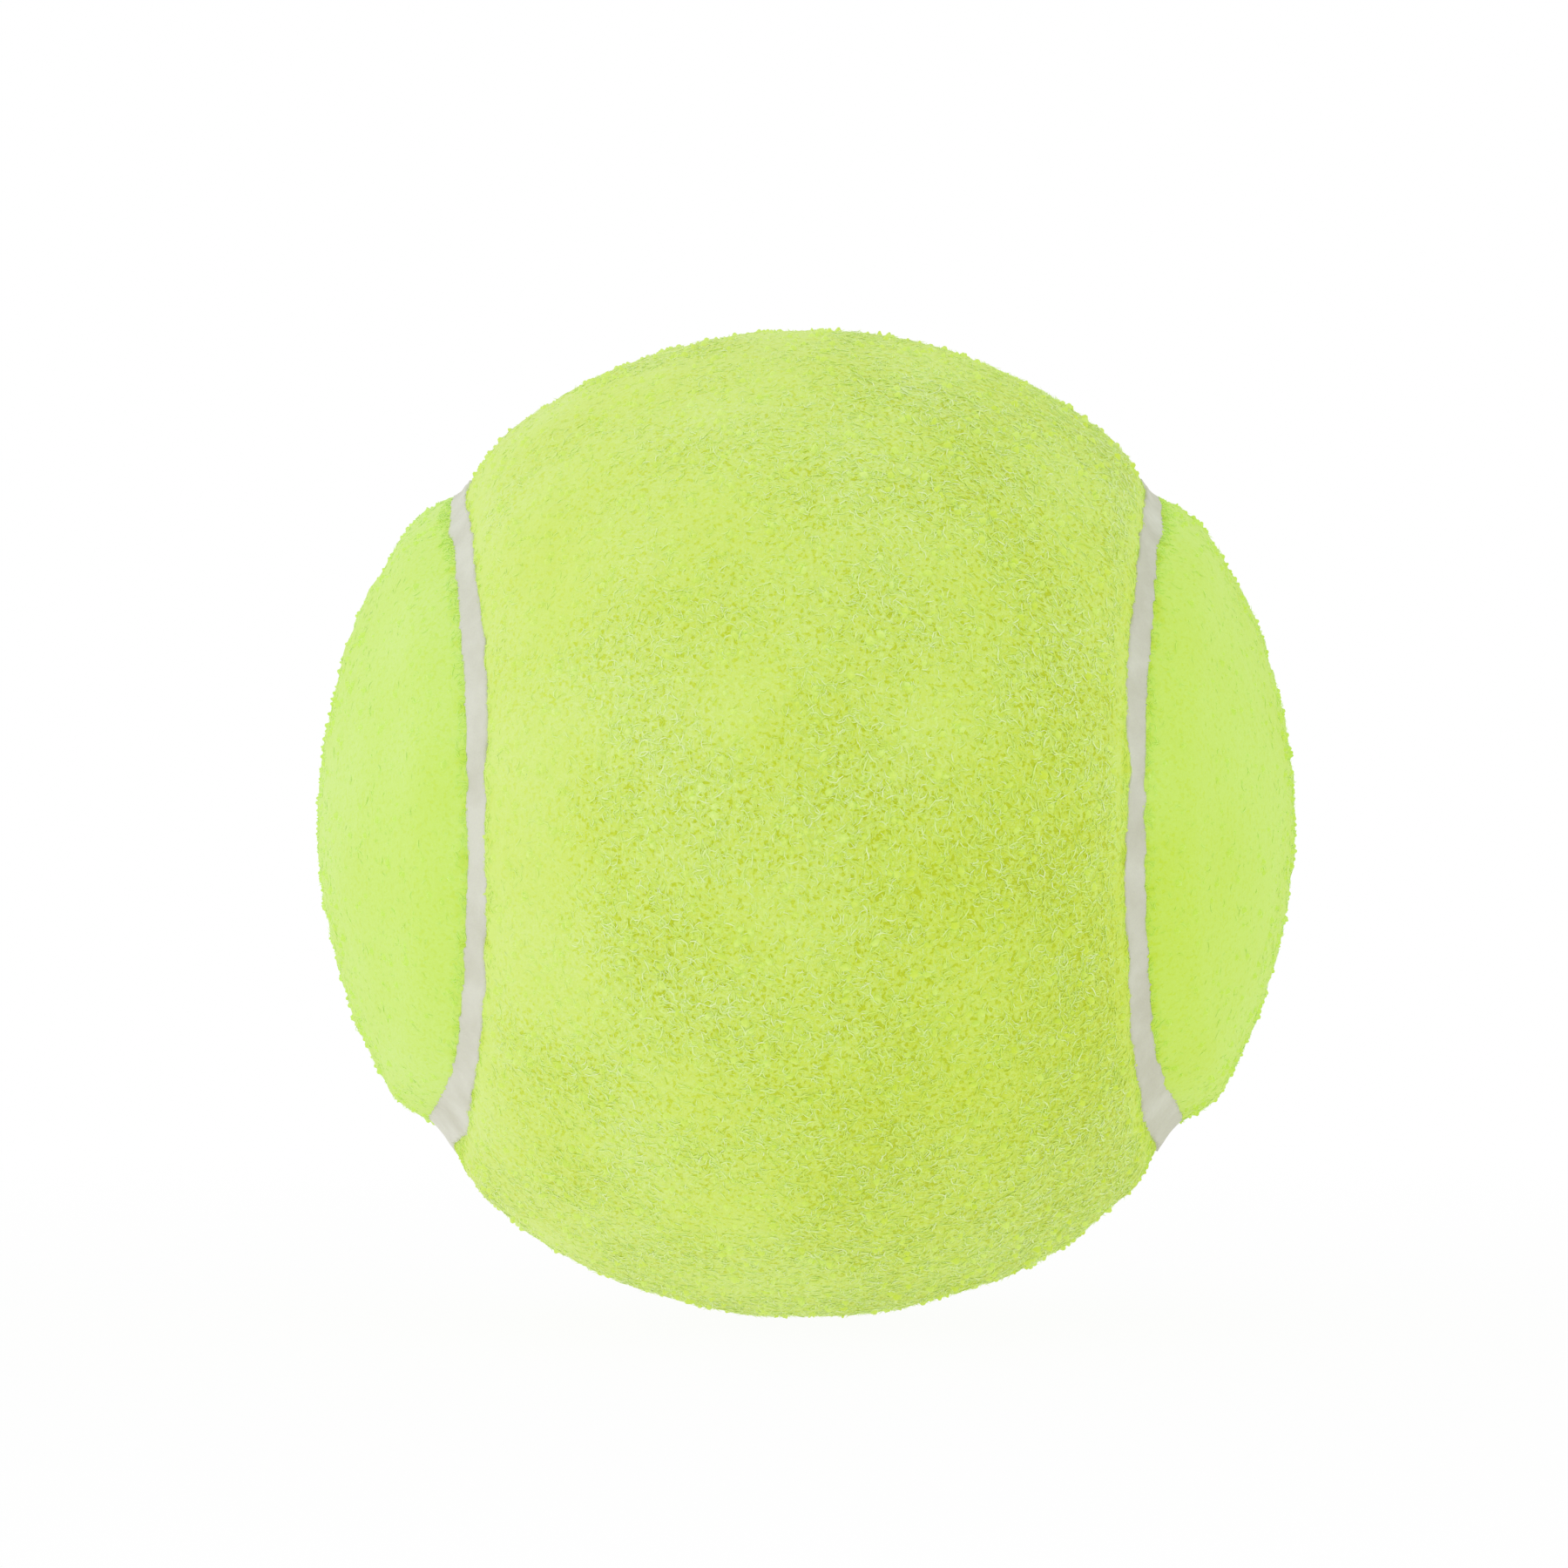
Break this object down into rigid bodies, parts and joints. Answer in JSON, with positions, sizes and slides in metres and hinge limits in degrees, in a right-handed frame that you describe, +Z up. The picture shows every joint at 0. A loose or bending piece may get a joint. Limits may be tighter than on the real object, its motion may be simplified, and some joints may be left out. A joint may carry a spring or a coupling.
{
  "type": "tennis ball",
  "caption": "Hollow rubber ball wrapped in interlocking dumbbell-shaped felt panels with a recessed cemented seam between them, for racket play.",
  "frame": {"origin": "the ball's centre", "axes": "+Z up, -Y to the front, where the neck of the front felt panel faces; its lobes go over the top and under the bottom, and the rear panel's lobes come round at +X and -X"},
  "size_m": [0.067, 0.067, 0.067],
  "materials": {
    "core_rubber": "matte",
    "core_cement": "satin",
    "cloth_backing": "matte",
    "felt": "matte",
    "seam_cement": "matte"
  },
  "bodies": {
    "root": {"core_half_upper": "core_rubber", "core_half_lower": "core_rubber", "core_joint_cement": "core_cement", "core_cement_coat": "core_cement", "felt_backing_front": "cloth_backing", "felt_backing_rear": "cloth_backing", "felt_panel_front": "felt", "felt_panel_rear": "felt", "seam_cement": "seam_cement"}
  },
  "joints": []
}
